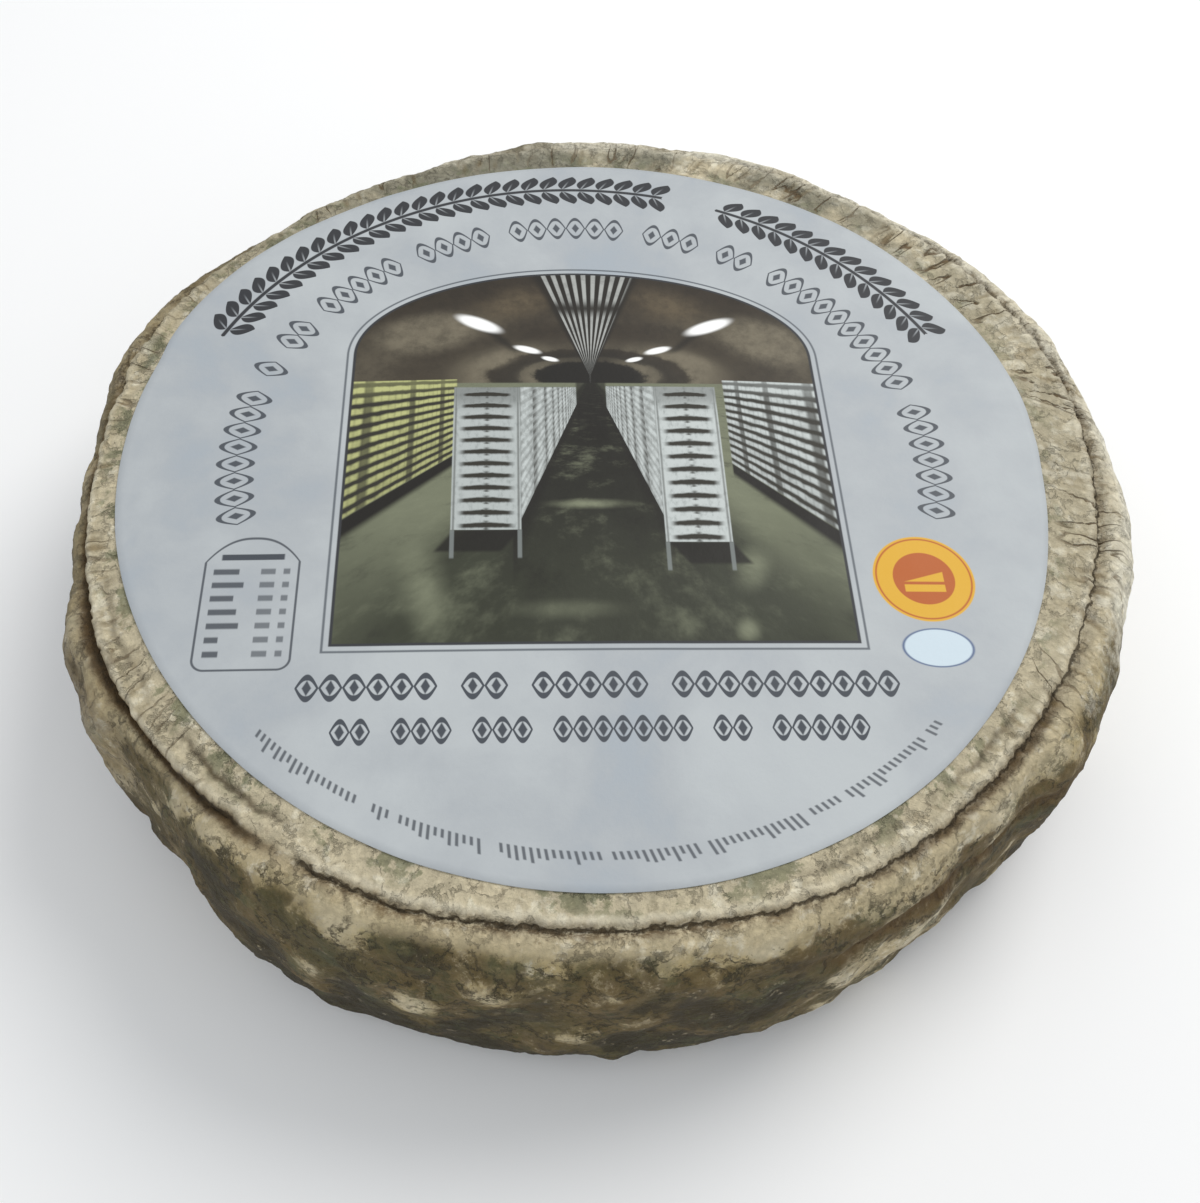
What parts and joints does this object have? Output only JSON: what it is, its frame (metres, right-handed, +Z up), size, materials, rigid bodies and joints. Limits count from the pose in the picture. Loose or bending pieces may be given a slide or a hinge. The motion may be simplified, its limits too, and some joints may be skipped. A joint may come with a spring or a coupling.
{
  "type": "cheese wheel",
  "caption": "Round pressed farmhouse cheese wheel with a mottled natural rind, a creased rim and a round printed paper label on top.",
  "frame": {"origin": "on the resting surface, under the middle of the wheel's bounding box", "axes": "+Z up through the label, -Y towards the side that the picture on the label is read from, +X to the reader's right"},
  "size_m": [0.21, 0.21, 0.0506],
  "materials": {
    "rind": "matte",
    "label_paper": "matte"
  },
  "bodies": {
    "root": {"cheese_wheel": "rind", "paper_label": "label_paper"}
  },
  "joints": []
}
